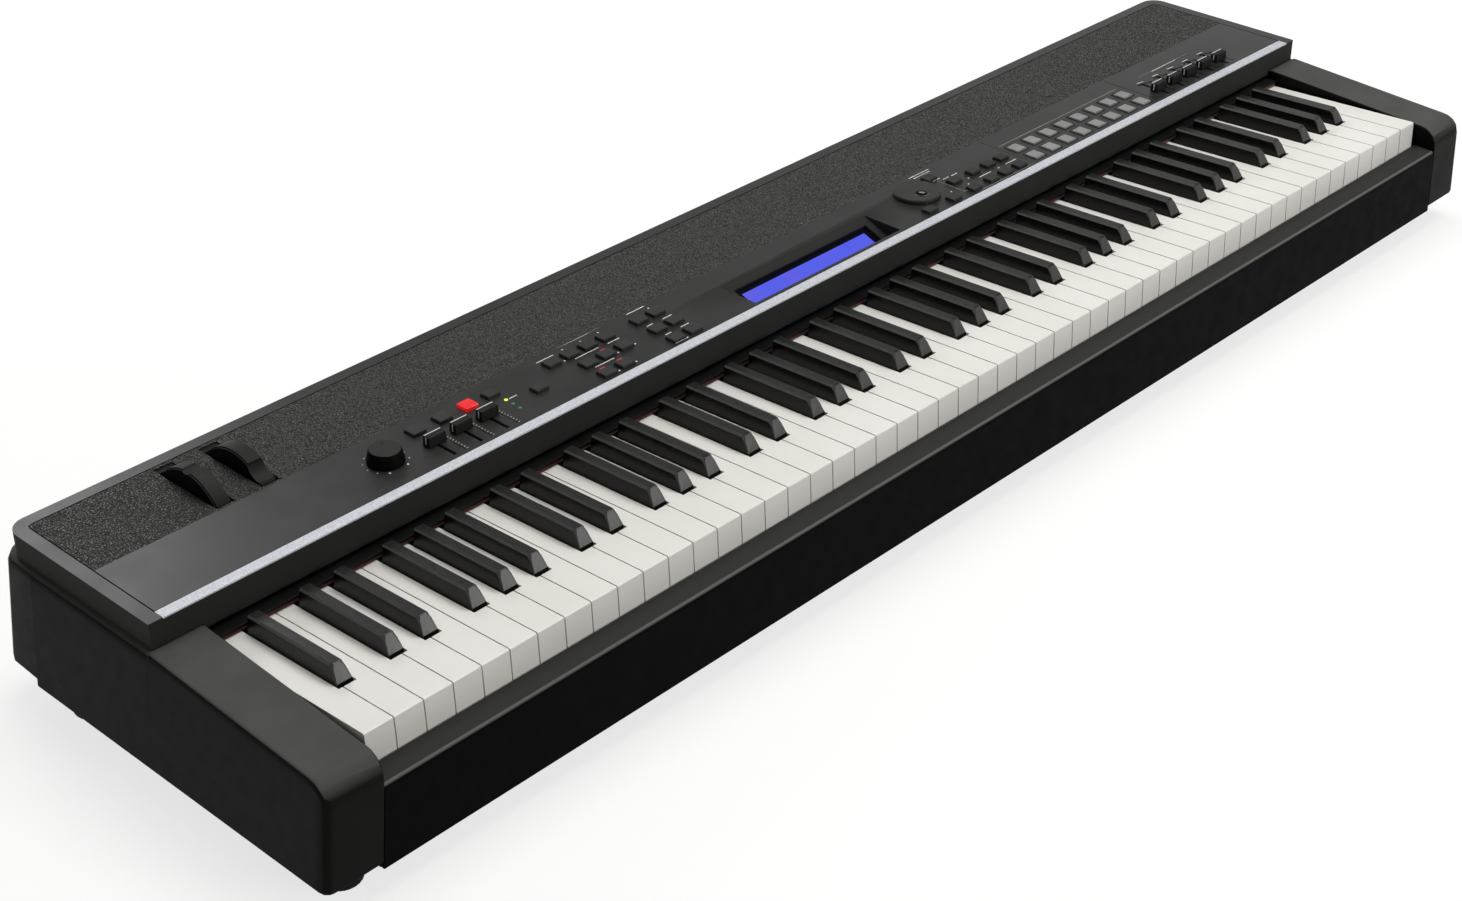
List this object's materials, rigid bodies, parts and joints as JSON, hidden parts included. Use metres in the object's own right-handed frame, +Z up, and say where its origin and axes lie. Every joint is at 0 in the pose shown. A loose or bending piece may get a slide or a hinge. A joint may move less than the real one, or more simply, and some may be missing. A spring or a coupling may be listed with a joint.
{
  "type": "stage piano",
  "caption": "Long low stage piano with weighted hinged keys, leaning end blocks, tilted blue display, two bender wheels, faders, dial and rows of buttons on a grained lid.",
  "frame": {"origin": "middle of the bounding box at the height the feet stand on", "axes": "+X along the keyboard to the treble end, +Y from the player to the rear, +Z up"},
  "size_m": [1.3318, 0.352, 0.1445],
  "materials": {
    "coated_steel": "black powder coat, satin",
    "block_plastic": "satin dark grey moulding, fine grain",
    "lid_paint": "charcoal grey paint on sheet metal, leather grain behind a smooth border",
    "trim_aluminium": "satin silver, finely speckled",
    "case_plastic": "black moulding, matte",
    "socket_plastic": "black moulding, satin",
    "rail_plastic": "near-black moulding, satin",
    "display_glass": "blue-violet backlit liquid crystal behind clear glass",
    "chassis_steel": "zinc-plated folded sheet",
    "red_felt": "dark red wool felt",
    "board_laminate": "green circuit board laminate",
    "white_key_plastic": "warm white, softly glossed",
    "black_key_plastic": "black, satin with a fine lengthwise grain",
    "wheel_rubber": "dark grey soft coating",
    "knob_plastic": "black satin",
    "button_plastic": "dark grey satin",
    "red_lens": "lit red lens",
    "category_plastic": "mid grey translucent caps, matte",
    "foot_rubber": "black rubber, matte"
  },
  "bodies": {
    "case": {"bottom_tray": "case_plastic", "left_end_block": "block_plastic", "right_end_block": "block_plastic", "top_cover": "lid_paint", "trim_strip": "trim_aluminium", "rear_panel": "case_plastic", "jack_panel": "case_plastic", "mains_inlet": "socket_plastic", "front_rail": "rail_plastic", "display_module": "display_glass", "key_chassis": "chassis_steel", "key_felt": "red_felt", "felt_carrier": "coated_steel", "control_board_left": "board_laminate", "control_board_right": "board_laminate", "main_board": "board_laminate", "wheel_bracket": "chassis_steel", "foot_front_left": "foot_rubber", "foot_front_right": "foot_rubber", "foot_rear_left": "foot_rubber", "foot_rear_right": "foot_rubber", "white_key_bank": "white_key_plastic", "black_key_bank": "black_key_plastic"},
    "power_switch_body": {"power_switch": "socket_plastic"},
    "key_A_3_body": {"key_A_3": "white_key_plastic"},
    "key_B_3_body": {"key_B_3": "white_key_plastic"},
    "key_C_4_body": {"key_C_4": "white_key_plastic"},
    "key_D_4_body": {"key_D_4": "white_key_plastic"},
    "key_E_4_body": {"key_E_4": "white_key_plastic"},
    "key_F_4_body": {"key_F_4": "white_key_plastic"},
    "key_G_4_body": {"key_G_4": "white_key_plastic"},
    "key_A_4_body": {"key_A_4": "white_key_plastic"},
    "key_B_4_body": {"key_B_4": "white_key_plastic"},
    "key_A_sharp_3_body": {"key_A_sharp_3": "black_key_plastic"},
    "key_C_sharp_4_body": {"key_C_sharp_4": "black_key_plastic"},
    "key_D_sharp_4_body": {"key_D_sharp_4": "black_key_plastic"},
    "key_F_sharp_4_body": {"key_F_sharp_4": "black_key_plastic"},
    "key_G_sharp_4_body": {"key_G_sharp_4": "black_key_plastic"},
    "key_A_sharp_4_body": {"key_A_sharp_4": "black_key_plastic"},
    "pitch_wheel_body": {"pitch_wheel": "wheel_rubber"},
    "modulation_wheel_body": {"modulation_wheel": "wheel_rubber"},
    "volume_knob_body": {"volume_knob": "knob_plastic"},
    "data_dial_body": {"data_dial": "knob_plastic"},
    "part_fader_1_body": {"part_fader_1": "knob_plastic"},
    "part_fader_2_body": {"part_fader_2": "knob_plastic"},
    "part_fader_3_body": {"part_fader_3": "knob_plastic"},
    "equaliser_fader_1_body": {"equaliser_fader_1": "knob_plastic"},
    "equaliser_fader_2_body": {"equaliser_fader_2": "knob_plastic"},
    "equaliser_fader_3_body": {"equaliser_fader_3": "knob_plastic"},
    "equaliser_fader_4_body": {"equaliser_fader_4": "knob_plastic"},
    "equaliser_fader_5_body": {"equaliser_fader_5": "knob_plastic"},
    "split_button_body": {"split_button": "button_plastic"},
    "layer_button_body": {"layer_button": "button_plastic"},
    "main_button_body": {"main_button": "red_lens"},
    "part_select_button_body": {"part_select_button": "button_plastic"},
    "slider_function_button_body": {"slider_function_button": "button_plastic"},
    "effect_buttons_body": {"effect_buttons": "button_plastic"},
    "octave_buttons_body": {"octave_buttons": "button_plastic"},
    "navigation_buttons_body": {"navigation_buttons": "button_plastic"},
    "category_buttons_body": {"category_buttons": "category_plastic"}
  },
  "joints": [
    {"name": "key_A_3_press", "type": "hinge", "parent": "case", "child": "key_A_3_body", "pos_m": [-0.10575, 0.06113, 0.0811], "axis": [1, 0, 0], "range_deg": [0, 2.65], "stiffness_Nm_per_rad": 0.5, "springref_deg": -17.19},
    {"name": "key_B_3_press", "type": "hinge", "parent": "case", "child": "key_B_3_body", "pos_m": [-0.08225, 0.06113, 0.0811], "axis": [1, 0, 0], "range_deg": [0, 2.65], "stiffness_Nm_per_rad": 0.5, "springref_deg": -17.19},
    {"name": "key_C_4_press", "type": "hinge", "parent": "case", "child": "key_C_4_body", "pos_m": [-0.05875, 0.06113, 0.0811], "axis": [1, 0, 0], "range_deg": [0, 2.65], "stiffness_Nm_per_rad": 0.5, "springref_deg": -17.19},
    {"name": "key_D_4_press", "type": "hinge", "parent": "case", "child": "key_D_4_body", "pos_m": [-0.03525, 0.06113, 0.0811], "axis": [1, 0, 0], "range_deg": [0, 2.65], "stiffness_Nm_per_rad": 0.5, "springref_deg": -17.19},
    {"name": "key_E_4_press", "type": "hinge", "parent": "case", "child": "key_E_4_body", "pos_m": [-0.01175, 0.06113, 0.0811], "axis": [1, 0, 0], "range_deg": [0, 2.65], "stiffness_Nm_per_rad": 0.5, "springref_deg": -17.19},
    {"name": "key_F_4_press", "type": "hinge", "parent": "case", "child": "key_F_4_body", "pos_m": [0.01175, 0.06113, 0.0811], "axis": [1, 0, 0], "range_deg": [0, 2.65], "stiffness_Nm_per_rad": 0.5, "springref_deg": -17.19},
    {"name": "key_G_4_press", "type": "hinge", "parent": "case", "child": "key_G_4_body", "pos_m": [0.03525, 0.06113, 0.0811], "axis": [1, 0, 0], "range_deg": [0, 2.65], "stiffness_Nm_per_rad": 0.5, "springref_deg": -17.19},
    {"name": "key_A_4_press", "type": "hinge", "parent": "case", "child": "key_A_4_body", "pos_m": [0.05875, 0.06113, 0.0811], "axis": [1, 0, 0], "range_deg": [0, 2.65], "stiffness_Nm_per_rad": 0.5, "springref_deg": -17.19},
    {"name": "key_B_4_press", "type": "hinge", "parent": "case", "child": "key_B_4_body", "pos_m": [0.08225, 0.06113, 0.0811], "axis": [1, 0, 0], "range_deg": [0, 2.65], "stiffness_Nm_per_rad": 0.5, "springref_deg": -17.19},
    {"name": "key_A_sharp_3_press", "type": "hinge", "parent": "case", "child": "key_A_sharp_3_body", "pos_m": [-0.0904, 0.07112, 0.08064], "axis": [1, 0, 0], "range_deg": [0, 3], "stiffness_Nm_per_rad": 0.4, "springref_deg": -17.19},
    {"name": "key_C_sharp_4_press", "type": "hinge", "parent": "case", "child": "key_C_sharp_4_body", "pos_m": [-0.0494, 0.07112, 0.08064], "axis": [1, 0, 0], "range_deg": [0, 3], "stiffness_Nm_per_rad": 0.4, "springref_deg": -17.19},
    {"name": "key_D_sharp_4_press", "type": "hinge", "parent": "case", "child": "key_D_sharp_4_body", "pos_m": [-0.0211, 0.07112, 0.08064], "axis": [1, 0, 0], "range_deg": [0, 3], "stiffness_Nm_per_rad": 0.4, "springref_deg": -17.19},
    {"name": "key_F_sharp_4_press", "type": "hinge", "parent": "case", "child": "key_F_sharp_4_body", "pos_m": [0.0199, 0.07112, 0.08064], "axis": [1, 0, 0], "range_deg": [0, 3], "stiffness_Nm_per_rad": 0.4, "springref_deg": -17.19},
    {"name": "key_G_sharp_4_press", "type": "hinge", "parent": "case", "child": "key_G_sharp_4_body", "pos_m": [0.047, 0.07112, 0.08064], "axis": [1, 0, 0], "range_deg": [0, 3], "stiffness_Nm_per_rad": 0.4, "springref_deg": -17.19},
    {"name": "key_A_sharp_4_press", "type": "hinge", "parent": "case", "child": "key_A_sharp_4_body", "pos_m": [0.0741, 0.07112, 0.08064], "axis": [1, 0, 0], "range_deg": [0, 3], "stiffness_Nm_per_rad": 0.4, "springref_deg": -17.19},
    {"name": "pitch_bend", "type": "hinge", "parent": "case", "child": "pitch_wheel_body", "pos_m": [-0.535, 0.1112, 0.1065], "axis": [-1, 0, 0], "range_deg": [-40, 40], "stiffness_Nm_per_rad": 0.3},
    {"name": "modulation_turn", "type": "hinge", "parent": "case", "child": "modulation_wheel_body", "pos_m": [-0.4978, 0.1112, 0.1065], "axis": [-1, 0, 0], "range_deg": [0, 80]},
    {"name": "volume_turn", "type": "hinge", "parent": "case", "child": "volume_knob_body", "pos_m": [-0.4272, 0.0427, 0.13], "axis": [0, 0, -1], "range_deg": [-150, 150]},
    {"name": "dial_turn", "type": "hinge", "parent": "case", "child": "data_dial_body", "pos_m": [0.1455, 0.046, 0.13], "axis": [0, 0, -1], "continuous": true},
    {"name": "power_rock", "type": "hinge", "parent": "case", "child": "power_switch_body", "pos_m": [0.542, 0.1589, 0.07], "axis": [1, 0, 0], "range_deg": [0, 15]},
    {"name": "part_fader_1_slide", "type": "slide", "parent": "case", "child": "part_fader_1_body", "axis": [0, 1, 0], "range_m": [-0.0195, 0]},
    {"name": "part_fader_2_slide", "type": "slide", "parent": "case", "child": "part_fader_2_body", "axis": [0, 1, 0], "range_m": [-0.0195, 0]},
    {"name": "part_fader_3_slide", "type": "slide", "parent": "case", "child": "part_fader_3_body", "axis": [0, 1, 0], "range_m": [-0.0195, 0]},
    {"name": "equaliser_fader_1_slide", "type": "slide", "parent": "case", "child": "equaliser_fader_1_body", "axis": [0, 1, 0], "range_m": [-0.009, 0.017]},
    {"name": "equaliser_fader_2_slide", "type": "slide", "parent": "case", "child": "equaliser_fader_2_body", "axis": [0, 1, 0], "range_m": [-0.009, 0.017]},
    {"name": "equaliser_fader_3_slide", "type": "slide", "parent": "case", "child": "equaliser_fader_3_body", "axis": [0, 1, 0], "range_m": [-0.009, 0.017]},
    {"name": "equaliser_fader_4_slide", "type": "slide", "parent": "case", "child": "equaliser_fader_4_body", "axis": [0, 1, 0], "range_m": [-0.009, 0.017]},
    {"name": "equaliser_fader_5_slide", "type": "slide", "parent": "case", "child": "equaliser_fader_5_body", "axis": [0, 1, 0], "range_m": [-0.009, 0.017]},
    {"name": "split_button_press", "type": "slide", "parent": "case", "child": "split_button_body", "axis": [0, 0, -1], "range_m": [0, 0.0008], "stiffness_N_per_m": 500, "springref_m": -0.002},
    {"name": "layer_button_press", "type": "slide", "parent": "case", "child": "layer_button_body", "axis": [0, 0, -1], "range_m": [0, 0.0008], "stiffness_N_per_m": 500, "springref_m": -0.002},
    {"name": "main_button_press", "type": "slide", "parent": "case", "child": "main_button_body", "axis": [0, 0, -1], "range_m": [0, 0.0008], "stiffness_N_per_m": 500, "springref_m": -0.002},
    {"name": "part_select_button_press", "type": "slide", "parent": "case", "child": "part_select_button_body", "axis": [0, 0, -1], "range_m": [0, 0.0008], "stiffness_N_per_m": 500, "springref_m": -0.002},
    {"name": "slider_function_button_press", "type": "slide", "parent": "case", "child": "slider_function_button_body", "axis": [0, 0, -1], "range_m": [0, 0.0008], "stiffness_N_per_m": 500, "springref_m": -0.002},
    {"name": "effect_buttons_press", "type": "slide", "parent": "case", "child": "effect_buttons_body", "axis": [0, 0, -1], "range_m": [0, 0.0008], "stiffness_N_per_m": 500, "springref_m": -0.002},
    {"name": "octave_buttons_press", "type": "slide", "parent": "case", "child": "octave_buttons_body", "axis": [0, 0, -1], "range_m": [0, 0.0008], "stiffness_N_per_m": 500, "springref_m": -0.002},
    {"name": "navigation_buttons_press", "type": "slide", "parent": "case", "child": "navigation_buttons_body", "axis": [0, 0, -1], "range_m": [0, 0.0008], "stiffness_N_per_m": 500, "springref_m": -0.002},
    {"name": "category_buttons_press", "type": "slide", "parent": "case", "child": "category_buttons_body", "axis": [0, 0, -1], "range_m": [0, 0.0008], "stiffness_N_per_m": 500, "springref_m": -0.002}
  ]
}
